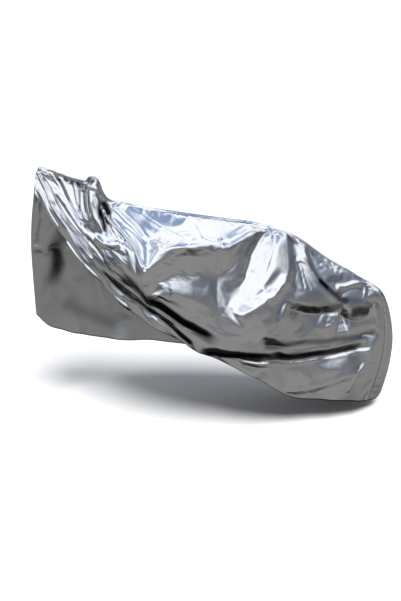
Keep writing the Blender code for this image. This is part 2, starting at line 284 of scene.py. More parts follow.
RIGHT_RIBS = (
    (0.000, -976, 4, 90, 980, 92, 90, 85, 80, 480),
    (0.015, -944, 0, 94, 1000, 97, 98, 96, 92, 430),
    (0.052, -870, 0, 100, 1035, 110, 120, 125, 120, 380),
    (0.113, -780, 0, 90, 1030, 125, 145, 160, 155, 340),
    (0.165, -700, 0, 80, 1010, 130, 160, 170, 170, 315),
    (0.227, -625, 0, 78, 960, 145, 175, 188, 182, 294),
    (0.346, -468, 0, 90, 920, 160, 200, 210, 195, 277),
    (0.442, -320, 0, 90, 890, 160, 210, 220, 200, 252),
    (0.546, -160, 0, 80, 870, 150, 200, 220, 200, 215),
    (0.649, 0, 0, 65, 875, 140, 190, 210, 190, 170),
    (0.749, 150, 0, 50, 800, 120, 170, 190, 170, 130),
    (0.840, 320, 0, 45, 700, 100, 150, 170, 150, 85),
    (0.890, 440, 0, 40, 650, 90, 130, 148, 128, 60),
    (0.930, 560, 10, 32, 610, 62, 88, 98, 88, 62),
    (0.965, 620, 25, 10, 580, 18, 24, 26, 24, 78),
    (0.985, 584, 42, -10, 560, -20, -30, -36, -36, 52),
    (1.000, 517, 60, -21, 540, -36, -50, -65, -80, 70),
)
RIB_LEVELS = (0.0, 0.2, 0.4, 0.6, 0.8, 1.0)
FOOT_EASE = 3

# Folds: places as shares along and down, widths above and below the line (behind and before it, where
# it runs down), depth (out is plus), the lengths over which the ends die out, all in millimetres, and
# the profile: 1 is a crease, 2 is soft, 3 and 4 are flatter topped.
LEFT_FOLDS = {
    "upper_sling": (
        (0.248, 0.642), (0.293, 0.699), (0.345, 0.700), (0.385, 0.771), (0.429, 0.823),
        (0.480, 0.849), (0.532, 0.870),
        38, 100, -15, 100, 80, 1,
    ),
    "upper_sling_lip": (
        (0.362, 0.763), (0.395, 0.823), (0.436, 0.852), (0.480, 0.871), (0.524, 0.888),
        6, 22, 3, 40, 60, 1,
    ),
    "lower_sling": (
        (0.200, 0.825), (0.249, 0.831), (0.297, 0.837), (0.346, 0.838), (0.385, 0.895),
        (0.424, 0.955), (0.468, 0.995),
        26, 50, -11, 80, 60, 1,
    ),
    "lower_sling_lip": (
        (0.350, 0.858), (0.367, 0.897), (0.383, 0.936), (0.405, 0.963), (0.428, 0.988),
        5, 14, 2.5, 30, 30, 1,
    ),
    "gather_line": (
        (0.156, 0.575), (0.171, 0.592), (0.187, 0.604), (0.205, 0.610), (0.222, 0.610),
        12, 10, -6, 15, 25, 1,
    ),
    "gather_lip": (
        (0.148, 0.625), (0.158, 0.635), (0.169, 0.646), (0.178, 0.658), (0.188, 0.670),
        5, 10, 4, 10, 20, 1,
    ),
    "front_valley": (
        (0.046, 0.560), (0.079, 0.591), (0.106, 0.643), (0.135, 0.688), (0.160, 0.746),
        (0.186, 0.800),
        16, 10, -11, 30, 40, 1,
    ),
    "front_crest": (
        (0.060, 0.288), (0.090, 0.384), (0.125, 0.474), (0.159, 0.565), (0.192, 0.657),
        16, 12, 7, 30, 40, 1,
    ),
    "hem_roll": (
        (0.082, 1.000), (0.125, 1.000), (0.169, 0.995), (0.212, 0.985), (0.255, 0.973),
        (0.298, 0.973),
        7, 12, 7, 20, 40, 1,
    ),
    "wheel_tuck": (
        (0.474, 0.983), (0.533, 0.967), (0.591, 0.928), (0.647, 0.883), (0.701, 0.827),
        (0.756, 0.777), (0.814, 0.741), (0.870, 0.700), (0.924, 0.643), (0.974, 0.575),
        44, 150, -16, 90, 60, 1,
    ),
    "wheel_tuck_rear": (
        (0.674, 0.860), (0.733, 0.798), (0.797, 0.757), (0.859, 0.710), (0.918, 0.649),
        (0.974, 0.575),
        40, 110, -13, 60, 40, 1,
    ),
    "wheel_lip": (
        (0.580, 0.938), (0.639, 0.901), (0.695, 0.847), (0.750, 0.793), (0.809, 0.755),
        (0.867, 0.715), (0.922, 0.657), (0.974, 0.590),
        5, 18, 4, 40, 10, 1,
    ),
    "rear_tuck": (
        (0.638, 0.792), (0.692, 0.753), (0.745, 0.710), (0.800, 0.676), (0.854, 0.638),
        (0.904, 0.585), (0.950, 0.516), (0.992, 0.438),
        44, 80, -15, 50, 4, 1,
    ),
    "skirt_band": (
        (0.722, 0.980), (0.776, 0.944), (0.830, 0.910), (0.881, 0.860), (0.930, 0.801),
        (0.976, 0.735),
        30, 24, 4, 30, 20, 1,
    ),
    "skirt_ray_1": (
        (0.996, 0.552), (0.996, 0.641), (0.996, 0.729), (0.998, 0.817), (0.998, 0.905),
        (0.992, 0.993),
        8, 8, 5, 5, 5, 1,
    ),
    "skirt_ray_2": (
        (0.982, 0.608), (0.968, 0.692), (0.950, 0.774), (0.934, 0.858), (0.920, 0.943),
        12, 10, 4, 30, 20, 1,
    ),
    "fan_left": (
        (0.688, 0.040), (0.678, 0.127), (0.669, 0.215), (0.642, 0.283), (0.617, 0.355),
        (0.603, 0.440), (0.593, 0.528), (0.584, 0.615),
        62, 90, -14, 20, 80, 1,
    ),
    "fan_right": (
        (0.720, 0.033), (0.722, 0.129), (0.725, 0.226), (0.726, 0.322), (0.703, 0.407),
        (0.678, 0.490), (0.658, 0.545),
        36, 90, 13, 25, 50, 1,
    ),
    "fan_foot": (
        (0.718, 0.360), (0.703, 0.435), (0.677, 0.497), (0.647, 0.550), (0.613, 0.592),
        (0.580, 0.640),
        60, 34, 9, 30, 30, 1,
    ),
    "fan_ray_1": (
        (0.696, 0.010), (0.691, 0.100), (0.687, 0.190), (0.676, 0.277), (0.658, 0.360),
        6, 8, -3.6, 5, 30, 1,
    ),
    "fan_ray_2": (
        (0.706, 0.000), (0.699, 0.123), (0.693, 0.246), (0.674, 0.362), (0.646, 0.473),
        7, 10, -3.6, 5, 60, 1,
    ),
    "fan_ray_3": (
        (0.650, 0.365), (0.636, 0.409), (0.623, 0.454), (0.611, 0.499), (0.598, 0.545),
        6, 8, -3, 15, 35, 1,
    ),
    "saddle_seam": (
        (0.704, 0.000), (0.731, 0.002), (0.754, 0.018), (0.764, 0.068), (0.774, 0.118),
        6, 6, -7, 8, 20, 1,
    ),
    "saddle_streak": (
        (0.768, 0.072), (0.773, 0.151), (0.783, 0.227), (0.808, 0.286), (0.843, 0.320),
        (0.882, 0.338),
        24, 32, 10, 40, 30, 1,
    ),
    "saddle_claw": (
        (0.754, 0.268), (0.762, 0.253), (0.773, 0.250), (0.783, 0.257), (0.792, 0.270),
        7, 5, 4, 5, 10, 1,
    ),
    "side_line_1": (
        (0.770, 0.290), (0.774, 0.309), (0.779, 0.328), (0.786, 0.345), (0.792, 0.362),
        4, 4, -2.5, 5, 5, 1,
    ),
    "side_line_2": (
        (0.752, 0.235), (0.758, 0.268), (0.764, 0.301), (0.768, 0.336), (0.772, 0.370),
        5, 5, -3, 10, 10, 1,
    ),
    "rear_corner": (
        (0.974, 0.018), (0.968, 0.084), (0.962, 0.150), (0.957, 0.216), (0.950, 0.283),
        8, 5, 6, 5, 4, 1,
    ),
    "rear_ledge": (
        (0.870, 0.292), (0.902, 0.262), (0.926, 0.214), (0.946, 0.157), (0.966, 0.100),
        14, 18, 5, 20, 5, 1,
    ),
    "rack_lens": (
        (0.712, 0.510), (0.755, 0.501), (0.797, 0.485), (0.837, 0.457), (0.875, 0.417),
        (0.910, 0.367),
        40, 150, -18, 60, 30, 1,
    ),
    "rear_leaf": (
        (0.884, 0.432), (0.915, 0.432), (0.944, 0.414), (0.968, 0.379), (0.986, 0.328),
        42, 110, -25, 18, 15, 1,
    ),
    "roof_streak": (
        (0.226, 0.022), (0.260, 0.060), (0.297, 0.085), (0.335, 0.089), (0.370, 0.122),
        (0.394, 0.182),
        30, 14, 7, 15, 20, 1,
    ),
    "roof_blue": (
        (0.256, 0.007), (0.296, 0.038), (0.337, 0.056), (0.374, 0.096), (0.406, 0.152),
        20, 26, -7, 20, 20, 1,
    ),
    "roof_crease": (
        (0.264, 0.000), (0.312, 0.013), (0.360, 0.032), (0.402, 0.081), (0.444, 0.130),
        10, 22, 5, 20, 10, 1,
    ),
    "roof_dip": (
        (0.488, 0.120), (0.544, 0.144), (0.602, 0.140), (0.647, 0.095), (0.680, 0.000),
        34, 16, -7, 20, 10, 1,
    ),
    "v_left": (
        (0.222, 0.100), (0.252, 0.124), (0.280, 0.160), (0.310, 0.185), (0.342, 0.190),
        18, 8, 7, 10, 10, 1,
    ),
    "v_left_valley": (
        (0.228, 0.068), (0.256, 0.103), (0.285, 0.136), (0.316, 0.154), (0.348, 0.173),
        6, 6, -5, 15, 10, 1,
    ),
    "brow": (
        (0.352, 0.200), (0.394, 0.204), (0.436, 0.203), (0.479, 0.203), (0.521, 0.203),
        (0.563, 0.206), (0.606, 0.213), (0.644, 0.201), (0.663, 0.125), (0.682, 0.050),
        30, 36, 5, 10, 10, 1,
    ),
    "cup_brim": (
        (0.190, 0.485), (0.214, 0.423), (0.230, 0.347), (0.251, 0.280), (0.274, 0.212),
        20, 18, 10, 8, 8, 1,
    ),
    "cup_spike": (
        (0.220, 0.100), (0.237, 0.115), (0.248, 0.144), (0.260, 0.172), (0.274, 0.198),
        14, 10, 8, 10, 10, 1,
    ),
    "cup_shade": (
        (0.278, 0.185), (0.288, 0.186), (0.297, 0.188), (0.307, 0.190), (0.316, 0.193),
        6, 10, -5, 5, 15, 1,
    ),
    "pocket_1": (
        (0.210, 0.028), (0.222, 0.030), (0.231, 0.047), (0.238, 0.066), (0.244, 0.088),
        8, 24, -14, 8, 12, 1,
    ),
    "pocket_2": (
        (0.216, 0.077), (0.225, 0.116), (0.228, 0.159), (0.228, 0.202), (0.228, 0.245),
        8, 22, -14, 8, 12, 1,
    ),
    "stem_pleat_1": (
        (0.136, 0.052), (0.136, 0.159), (0.137, 0.266), (0.142, 0.372), (0.152, 0.478),
        7, 9, -12, 10, 20, 1,
    ),
    "stem_pleat_2": (
        (0.152, 0.077), (0.152, 0.134), (0.153, 0.190), (0.156, 0.246), (0.160, 0.302),
        5, 7, -7, 8, 20, 1,
    ),
    "stem_tuft": (
        (0.184, 0.000), (0.184, 0.104), (0.188, 0.208), (0.191, 0.311), (0.194, 0.415),
        18, 18, 15, 8, 70, 2,
    ),
    "stem_groove": (
        (0.180, 0.075), (0.181, 0.155), (0.188, 0.234), (0.192, 0.313), (0.196, 0.393),
        4, 5, -5, 8, 20, 1,
    ),
    "stem_collar": (
        (0.156, 0.058), (0.169, 0.054), (0.183, 0.055), (0.196, 0.055), (0.208, 0.043),
        8, 12, 5, 5, 5, 1,
    ),
    "front_pleat_1": (
        (0.024, 0.203), (0.037, 0.322), (0.054, 0.439), (0.079, 0.550), (0.106, 0.660),
        9, 7, -7, 20, 60, 1,
    ),
    "front_pleat_2": (
        (0.056, 0.062), (0.075, 0.171), (0.096, 0.278), (0.121, 0.381), (0.152, 0.478),
        7, 6, -7, 15, 60, 1,
    ),
    "front_pleat_3": (
        (0.074, 0.050), (0.095, 0.157), (0.114, 0.265), (0.135, 0.371), (0.162, 0.473),
        7, 6, 6, 15, 60, 1,
    ),
    "front_pleat_4": (
        (0.104, 0.055), (0.115, 0.135), (0.123, 0.216), (0.132, 0.297), (0.140, 0.378),
        6, 6, -6, 10, 30, 1,
    ),
    "front_pleat_5": (
        (0.042, 0.020), (0.056, 0.094), (0.072, 0.167), (0.088, 0.239), (0.104, 0.312),
        6, 6, 5, 10, 30, 1,
    ),
    "peak_pleat": (
        (0.006, 0.080), (0.015, 0.236), (0.027, 0.392), (0.044, 0.545), (0.072, 0.693),
        7, 7, 7, 10, 60, 1,
    ),
    "hem_flute": (
        (0.008, 0.652), (0.024, 0.728), (0.037, 0.806), (0.049, 0.885), (0.070, 0.955),
        7, 12, 6, 10, 20, 1,
    ),
    "peak_crease": (
        (0.002, 0.060), (0.010, 0.060), (0.018, 0.062), (0.026, 0.067), (0.034, 0.072),
        4, 5, -4, 4, 8, 1,
    ),
    "roof_tip_1": (
        (0.444, 0.128), (0.448, 0.144), (0.452, 0.160), (0.456, 0.176), (0.460, 0.193),
        5, 6, 5, 4, 4, 1,
    ),
    "roof_notch": (
        (0.538, 0.122), (0.539, 0.141), (0.540, 0.160), (0.543, 0.177), (0.546, 0.195),
        6, 6, -8, 4, 4, 1,
    ),
    "roof_tip_2": (
        (0.552, 0.135), (0.554, 0.153), (0.556, 0.172), (0.559, 0.190), (0.562, 0.208),
        5, 6, 5, 4, 4, 1,
    ),
    "roof_loop": (
        (0.432, 0.000), (0.455, 0.000), (0.477, 0.004), (0.468, 0.035), (0.448, 0.058),
        4, 5, -4, 8, 8, 1,
    ),
    "pack_crease_1": (
        (0.416, 0.205), (0.416, 0.289), (0.414, 0.373), (0.411, 0.456), (0.410, 0.540),
        5, 3, 3, 8, 6, 1,
    ),
    "pack_crease_2": (
        (0.534, 0.208), (0.534, 0.319), (0.532, 0.430), (0.532, 0.541), (0.532, 0.652),
        5, 3, -3, 8, 6, 1,
    ),
    "belly_step": (
        (0.408, 0.550), (0.443, 0.558), (0.478, 0.577), (0.509, 0.609), (0.538, 0.652),
        90, 30, 3, 10, 20, 1,
    ),
    "belly_fold": (
        (0.464, 0.720), (0.495, 0.722), (0.525, 0.731), (0.556, 0.736), (0.587, 0.739),
        (0.618, 0.735),
        30, 40, -3, 30, 30, 1,
    ),
    "belly_hook": (
        (0.650, 0.730), (0.660, 0.710), (0.670, 0.690), (0.682, 0.673), (0.694, 0.657),
        6, 7, 2, 4, 8, 1,
    ),
    "fan_ray_4": (
        (0.670, 0.263), (0.662, 0.291), (0.655, 0.319), (0.645, 0.344), (0.634, 0.367),
        5, 6, -3, 10, 15, 1,
    ),
}
# Painted shade: the film's colour is darkened along these pockets, pinched pleats and fold lines, to
# stand in for the shade in deep folds: as the folds, with the share of darkening in place of the depth.
LEFT_PAINTED_SHADES = {
    "behind_tuft": (
        (0.220, 0.028), (0.227, 0.035), (0.231, 0.049), (0.235, 0.064), (0.240, 0.077),
        14, 14, 1, 6, 10, 3,
    ),
    "under_tuft": (
        (0.212, 0.107), (0.220, 0.140), (0.222, 0.180), (0.221, 0.220), (0.220, 0.260),
        11, 11, 1, 8, 12, 3,
    ),
    "pleat_1": (
        (0.133, 0.065), (0.134, 0.142), (0.136, 0.219), (0.133, 0.295), (0.135, 0.372),
        5, 5, 0.85, 10, 20, 2,
    ),
    "pleat_2": (
        (0.152, 0.068), (0.153, 0.131), (0.156, 0.195), (0.158, 0.259), (0.158, 0.323),
        5, 5, 0.85, 10, 20, 2,
    ),
    "tuft_edge": (
        (0.185, 0.133), (0.189, 0.202), (0.193, 0.271), (0.195, 0.340), (0.195, 0.410),
        4, 4, 0.7, 15, 15, 2,
    ),
    "tuft_back": (
        (0.210, 0.055), (0.208, 0.099), (0.208, 0.142), (0.207, 0.186), (0.205, 0.230),
        5, 5, 0.8, 10, 15, 2,
    ),
    "tuft_top": (
        (0.170, 0.003), (0.174, 0.014), (0.180, 0.020), (0.186, 0.024), (0.193, 0.028),
        15, 15, 0.85, 6, 6, 3,
    ),
    "tuft_notch": (
        (0.158, 0.025), (0.161, 0.034), (0.165, 0.042), (0.168, 0.052), (0.170, 0.062),
        8, 8, 0.95, 3, 3, 2,
    ),
    "gather": (
        (0.158, 0.570), (0.178, 0.595), (0.198, 0.618), (0.222, 0.621), (0.245, 0.630),
        5, 5, 0.85, 25, 20, 2,
    ),
    "front_line": (
        (0.075, 0.650), (0.104, 0.674), (0.126, 0.719), (0.149, 0.765), (0.175, 0.802),
        6, 6, 0.5, 20, 30, 2,
    ),
    "upper_sling": (
        (0.258, 0.585), (0.296, 0.595), (0.334, 0.588), (0.360, 0.618), (0.377, 0.687),
        (0.401, 0.745), (0.432, 0.789), (0.468, 0.819), (0.504, 0.839), (0.542, 0.850),
        21, 21, 0.9, 70, 90, 4,
    ),
    "lower_sling": (
        (0.205, 0.772), (0.230, 0.784), (0.251, 0.816), (0.278, 0.826), (0.305, 0.828),
        (0.330, 0.813), (0.356, 0.807), (0.377, 0.836), (0.394, 0.876), (0.414, 0.913),
        (0.437, 0.943), (0.460, 0.970),
        9, 9, 0.9, 50, 10, 3,
    ),
    "main_tuck": (
        (0.497, 0.980), (0.545, 0.940), (0.591, 0.891), (0.638, 0.849), (0.687, 0.811),
        (0.733, 0.764), (0.781, 0.724), (0.832, 0.703), (0.881, 0.670), (0.927, 0.624),
        (0.970, 0.565),
        14, 14, 0.88, 20, 80, 4,
    ),
    "rear_tuck": (
        (0.650, 0.787), (0.689, 0.753), (0.725, 0.705), (0.763, 0.665), (0.805, 0.640),
        (0.846, 0.619), (0.885, 0.582), (0.925, 0.551), (0.960, 0.502), (0.988, 0.435),
        14, 14, 0.55, 30, 30, 3,
    ),
    "lens": (
        (0.723, 0.490), (0.752, 0.473), (0.783, 0.460), (0.813, 0.442), (0.841, 0.416),
        (0.869, 0.389), (0.897, 0.365),
        15, 15, 0.6, 30, 15, 3,
    ),
    "leaf": (
        (0.910, 0.395), (0.925, 0.381), (0.938, 0.362), (0.953, 0.347), (0.968, 0.330),
        22, 22, 0.85, 18, 8, 4,
    ),
    "streak": (
        (0.772, 0.223), (0.783, 0.252), (0.795, 0.280), (0.811, 0.298), (0.828, 0.310),
        (0.845, 0.323),
        9, 9, 0.6, 15, 25, 3,
    ),
    "streak_end": (
        (0.807, 0.302), (0.827, 0.312), (0.847, 0.326), (0.867, 0.336), (0.887, 0.340),
        (0.907, 0.343),
        17, 13, 0.8, 25, 12, 3,
    ),
    "saddle_front": (
        (0.720, 0.143), (0.731, 0.143), (0.742, 0.143), (0.752, 0.143), (0.763, 0.150),
        14, 14, 0.35, 8, 8, 2,
    ),
    "fan_shade": (
        (0.662, 0.185), (0.651, 0.225), (0.637, 0.260), (0.621, 0.293), (0.605, 0.328),
        17, 17, 0.35, 10, 25, 3,
    ),
    "weld_shade_1": (
        (0.060, 0.083), (0.064, 0.083), (0.068, 0.083), (0.071, 0.086), (0.075, 0.088),
        7, 7, 0.9, 3, 3, 2,
    ),
    "weld_shade_2": (
        (0.103, 0.035), (0.106, 0.035), (0.110, 0.037), (0.114, 0.037), (0.118, 0.037),
        7, 7, 0.9, 3, 3, 2,
    ),
    "weld_shade_3": (
        (0.083, 0.045), (0.086, 0.046), (0.090, 0.049), (0.094, 0.051), (0.098, 0.055),
        5, 5, 0.8, 3, 3, 2,
    ),
    "weld_shade_4": (
        (0.125, 0.030), (0.129, 0.033), (0.133, 0.034), (0.136, 0.036), (0.140, 0.040),
        7, 7, 0.9, 3, 3, 2,
    ),
}
GATHER_ROW = 0.75
GATHER_LINE = (
    (0.00, 0.45), (0.09, 0.62), (0.16, 0.70), (0.24, 0.66), (0.30, 0.61), (0.37, 0.66),
    (0.46, 0.745), (0.55, 0.83), (0.62, 0.85), (0.70, 0.79), (0.81, 0.70), (1.00, 0.52),
)

# Spots where the film has more or less to spare: place along and down, reach along and down, and share.
LEFT_SLACK = {
    "roof": (0.36, 0.08, 0.12, 0.14, 0.9),
    "front": (0.12, 0.25, 0.10, 0.25, 0.4),
    "v": (0.29, 0.25, 0.05, 0.12, 0.7),
    "fan": (0.66, 0.25, 0.06, 0.25, 0.7),
    "hollow": (0.48, 0.38, 0.08, 0.16, 0.1),
    "slings": (0.32, 0.75, 0.22, 0.17, -0.1),
    "tuck": (0.66, 0.84, 0.20, 0.10, 0.05),
    "wrinkles": (0.86, 0.47, 0.06, 0.06, 0.9),
}
RIGHT_SLACK = {
    "front": (0.05, 0.50, 0.08, 0.30, 0.8),
}
FREE_SLACK = 0.4
UNEVEN = 0.0003
UNEVEN_WAVES = 20
UNEVEN_FRACTAL = (0.6, 2.0, 4)
SHAPE_HOLD = 0.02
SPARE_FILM = 0.04
EVERYWHERE_SLACK = 0.2
CRUMPLE_FRAMES = 15
FURTHEST = 0.025
FLAT_LENGTH = 2.0
FLAT_HEIGHT = 1.0


def smooth(knots, values, at):
    """A cubic through values, one row for each knot, that doesn't swing past them."""
    knots = np.asarray(knots, float)
    values = np.asarray(values, float)
    if values.ndim == 1:
        values = np.repeat(values[:, None], len(at), axis=1)
    step = np.diff(knots)[:, None]
    rise = np.diff(values, axis=0) / step
    before, after = rise[:-1], rise[1:]
    mean = (before * step[1:] + after * step[:-1]) / (step[1:] + step[:-1])
    limit = 3 * np.minimum(abs(before), abs(after))
    inner = np.where(before * after > 0, np.sign(mean) * np.minimum(abs(mean), limit), 0)
    slope = np.concatenate([rise[:1], inner, rise[-1:]])
    k = np.clip(np.searchsorted(knots, at, side="right") - 1, 0, len(knots) - 2)
    point = np.arange(len(at))
    width = step[k, 0]
    u = (at - knots[k]) / width
    start, end = values[k, point], values[k + 1, point]
    return (
        (1 + 2 * u) * (1 - u) ** 2 * start
        + u * (1 - u) ** 2 * width * slope[k, point]
        + u**2 * (3 - 2 * u) * end
        - u**2 * (1 - u) * width * slope[k + 1, point]
    )


def ease(share):
    """0 below 0, 1 above 1 and a soft step between."""
    share = np.clip(share, 0, 1)
    return share**2 * (3 - 2 * share)


def read_table(columns, rows, along):
    """Each column of a table, run smoothly through its rows and read at shares along a panel."""
    table = dict(zip(columns, np.array(rows, float).T))
    knots = table.pop("along")
    return {name: smooth(knots, column * MM, along) for name, column in table.items()}


def plain_panel(ribs, along, down):
    """Points of a panel without folds, at shares along it and down it."""
    top = read_table(TOP_COLUMNS, TOP_WELD, along)
    rib = read_table(RIB_COLUMNS, ribs, along)
    drop = rib["edge_height"] - rib["hem_height"]
    sides = [top["y"], rib["edge_y"], rib["flank_y"], rib["belly_y"], rib["skirt_y"], rib["hem_y"]]
    heights = [top["height"]] + [rib["edge_height"] - share * drop for share in (0, 0.25, 0.5, 0.75, 1)]
    swing = 1 - (1 - down) ** FOOT_EASE
    x = top["x"] + (rib["foot_x"] - top["x"]) * swing + rib["bow"] * np.sin(np.pi * down)
    y = smooth(RIB_LEVELS, np.stack(sides), down)
    z = smooth(RIB_LEVELS, np.stack(heights), down) - SADDLE_HEIGHT
    return np.stack([x, y, z], axis=1)


def outward(ribs, along, down, side):
    """Outward normals of the plain panel; side is -1 for the left panel and 1 for the right."""
    half = NORMAL_STEP / 2
    ahead, behind = np.minimum(along + half, 1), np.maximum(along - half, 0)
    lower, upper = np.minimum(down + half, 1), np.maximum(down - half, 0)
    rearward = plain_panel(ribs, ahead, down) - plain_panel(ribs, behind, down)
    downward = plain_panel(ribs, along, lower) - plain_panel(ribs, along, upper)
    normal = side * np.cross(rearward, downward)
    return normal / np.linalg.norm(normal, axis=1, keepdims=True)


def wobbled(points):
    """Points moved a little off their places in slow waves, so that folds beside them run unevenly."""
    luck = np.random.default_rng(WOBBLE_SEED)
    moved = points.copy()
    for size, waves in WOBBLE:
        for axis in range(3):
            for _ in range(WOBBLE_WAVES):
                direction = luck.normal(size=3)
                direction *= 2 * np.pi * waves / np.linalg.norm(direction)
                start = luck.uniform(0, 2 * np.pi)
                moved[:, axis] += size * MM / WOBBLE_WAVES * np.sin(points @ direction + start)
    return moved


def fold_height(points, along, down, ribs, fold):
    """How far one fold moves each point: a trough or crest that dies out on both sides of its line."""
    *places, above, below, depth, start, end, profile = fold
    knots = np.linspace(0, 1, len(places))
    steps = np.linspace(0, 1, FOLD_PIECES + 1)
    line_along, line_down = (smooth(knots, shares, steps) for shares in np.array(places).T)
    line = plain_panel(ribs, line_along, line_down)
    nearest = np.full(len(points), np.inf)
    run = np.zeros(len(points))
    turned = np.zeros(len(points))
    length = 0.0
    for k in range(len(line) - 1):
        piece = line[k + 1] - line[k]
        piece_length = np.linalg.norm(piece)
        share = np.clip((points - line[k]) @ piece / piece_length**2, 0, 1)
        distance = np.linalg.norm(points - line[k] - share[:, None] * piece, axis=1)
        closer = distance < nearest
        nearest[closer] = distance[closer]
        run[closer] = (length + share * piece_length)[closer]
        step_along = (line_along[k + 1] - line_along[k]) * FLAT_LENGTH
        step_down = (line_down[k + 1] - line_down[k]) * FLAT_HEIGHT
        turn = step_along * (down - line_down[k]) * FLAT_HEIGHT
        turn -= step_down * (along - line_along[k]) * FLAT_LENGTH
        turned[closer] = turn[closer]
        length += piece_length
    width = np.where(turned > 0, below, above) * MM
    share = nearest / width
    if profile > SOFT_FROM:
        shape = np.exp(-(share**profile))
    else:
        shape = (1 - share + np.sqrt((1 - share) ** 2 + CREASE_ROUND**2)) / 2
        shape = np.maximum(shape - CREASE_ROUND**2 / 4, 0)
    ends = ease(run / (start * MM)) * ease((length - run) / (end * MM))
    return depth * MM * ends * shape


def weld_directions(along, down):
    """At points of the weld: the way its flange stands out, and the way to the right panel."""
    half = NORMAL_STEP / 2
    before = plain_panel(LEFT_RIBS, along - np.where(down > 0, 0, half), np.maximum(down - half, 0))
    after = plain_panel(LEFT_RIBS, np.minimum(along + half, 1), down + np.where(along < 1, 0, half))
    run = after - before
    run /= np.linalg.norm(run, axis=1, keepdims=True)
    inner_along, inner_down = np.minimum(along, 1 - WELD_HOLD), np.maximum(down, WELD_HOLD)
    out = outward(LEFT_RIBS, inner_along, inner_down, -1)
    out = out + outward(RIGHT_RIBS, inner_along, inner_down, 1)
    out -= run * (out * run).sum(axis=1, keepdims=True)
    out /= np.linalg.norm(out, axis=1, keepdims=True)
    return out, np.cross(out, run)


def draped_panel(ribs, folds, along, down, side):
    """Points of a panel with its folds, set beside the weld's middle plane."""
    points = plain_panel(ribs, along, down)
    height = sum(fold_height(wobbled(points), along, down, ribs, fold) for fold in folds.values())
    held = ease(down / WELD_HOLD) * ease((1 - along) / WELD_HOLD)
    points = points + outward(ribs, along, down, side) * (height * held)[:, None]
    weld_down = np.where(along < 1, 0, down)
    right = weld_directions(along, weld_down)[1]
    return points + side * (FILM + WELD_GAP / 2) * right


def gathered_rows(along, row):
    """Shares down the left panel of rows that follow its main fold."""
    knots, levels = np.array(GATHER_LINE).T
    level = smooth(knots, levels, along)
    above = row / GATHER_ROW * level
    below = 1 - (1 - row) / (1 - GATHER_ROW) * (1 - level)
    return np.where(row < GATHER_ROW, above, below)


def even_rows(along, row):
    """Shares down the right panel of evenly spread rows."""
    return row


def film_crinkle():
    """Crinkles of thin film: ridged creases at two sizes, as a height."""
    group = bpy.data.node_groups.new("film_crinkle", "ShaderNodeTree")
    group.interface.new_socket("Vector", in_out="INPUT", socket_type="NodeSocketVector")
    group.interface.new_socket("Scale", in_out="INPUT", socket_type="NodeSocketFloat")
    group.interface.new_socket("Height", in_out="OUTPUT", socket_type="NodeSocketFloat")
    group.interface.new_socket("Rubbed", in_out="OUTPUT", socket_type="NodeSocketFloat")
    nodes, links = group.nodes, group.links
    inside, outside = nodes.new("NodeGroupInput"), nodes.new("NodeGroupOutput")
    bend = nodes.new("ShaderNodeTexNoise")
    bend.inputs["Scale"].default_value = 5
    bend.inputs["Detail"].default_value = 2
    warp = nodes.new("ShaderNodeVectorMath")
    warp.operation = "MULTIPLY_ADD"
    warp.inputs[1].default_value = (0.08, 0.08, 0.08)
    big = nodes.new("ShaderNodeTexNoise")
    big.noise_type = "RIDGED_MULTIFRACTAL"
    big.inputs["Detail"].default_value = 3
    big.inputs["Roughness"].default_value = 0.45
    small = nodes.new("ShaderNodeTexNoise")
    small.noise_type = "RIDGED_MULTIFRACTAL"
    small.inputs["Detail"].default_value = 4
    finer = nodes.new("ShaderNodeMath")
    finer.operation = "MULTIPLY"
    finer.inputs[1].default_value = 3.3
    share = nodes.new("ShaderNodeMath")
    share.operation = "MULTIPLY_ADD"
    share.inputs[1].default_value = 0.3
    worn = nodes.new("ShaderNodeTexNoise")
    worn.inputs["Scale"].default_value = 3
    worn.inputs["Detail"].default_value = 6
    links.new(inside.outputs["Vector"], bend.inputs["Vector"])
    links.new(bend.outputs["Color"], warp.inputs[0])
    links.new(inside.outputs["Vector"], warp.inputs[2])
    links.new(warp.outputs[0], big.inputs["Vector"])
    links.new(inside.outputs["Scale"], big.inputs["Scale"])
    links.new(inside.outputs["Scale"], finer.inputs[0])
    links.new(warp.outputs[0], small.inputs["Vector"])
    links.new(finer.outputs[0], small.inputs["Scale"])
    links.new(small.outputs["Fac"], share.inputs[0])
    links.new(big.outputs["Fac"], share.inputs[2])
    links.new(share.outputs[0], outside.inputs["Height"])
    links.new(inside.outputs["Vector"], worn.inputs["Vector"])
    links.new(worn.outputs["Fac"], outside.inputs["Rubbed"])
    return group


crinkle = film_crinkle()
# The colour that the film is darkened towards as painted shade in its deep folds.
PAINTED_SHADE_DARK = (0.004, 0.004, 0.006)
RUB_FROM, RUB_TO = 0.3, 0.7
RUB_GLOSSIER, RUB_DULLER = 0.04, 0.06


